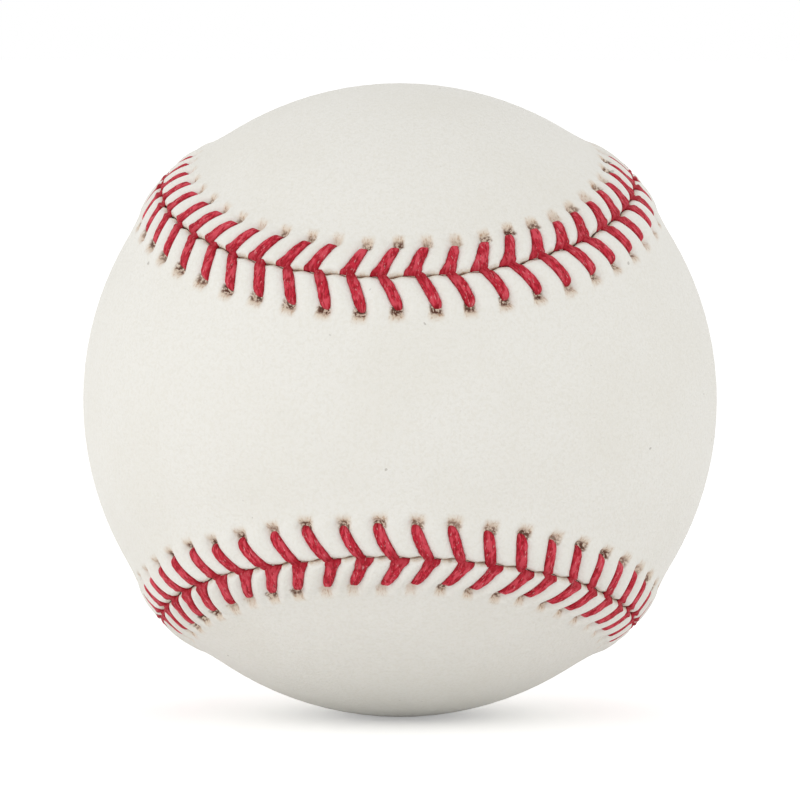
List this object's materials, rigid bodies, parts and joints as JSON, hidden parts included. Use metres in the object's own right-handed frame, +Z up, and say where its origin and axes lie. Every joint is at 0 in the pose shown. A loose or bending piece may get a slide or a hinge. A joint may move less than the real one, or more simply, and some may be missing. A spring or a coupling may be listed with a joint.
{
  "type": "baseball",
  "caption": "Hand-sewn ball with a cork and rubber core, wool windings and two interlocking figure-eight leather panels joined by a raised red-stitched seam.",
  "frame": {"origin": "middle of the ball", "axes": "+Z up; the waist of the front panel faces -Y with its lobes at -X and +X, and the waist of the rear panel faces +Y with its lobes at the top and the bottom"},
  "size_m": [0.0744, 0.0744, 0.0744],
  "materials": {
    "cowhide": "alum-tanned, matt with a faint sheen and a fine pebble grain",
    "red_thread": "waxed cotton thread, flattened, with visible fibres",
    "cork": "granular composition cork, matt",
    "black_rubber": "moulded, matt",
    "red_rubber": "moulded, matt",
    "grey_wool": "wound yarn, fuzzy",
    "white_wool": "wound yarn, fuzzy",
    "white_cotton": "fine wound finishing yarn"
  },
  "bodies": {
    "root": {"cork_core": "cork", "inner_shell_front": "black_rubber", "inner_shell_rear": "black_rubber", "equator_gasket": "red_rubber", "outer_rubber_shell": "red_rubber", "first_winding": "grey_wool", "second_winding": "white_wool", "third_winding": "grey_wool", "finish_winding": "white_cotton", "cover_panel_front": "cowhide", "cover_panel_rear": "cowhide", "stitches_front": "red_thread", "stitches_rear": "red_thread"}
  },
  "joints": []
}
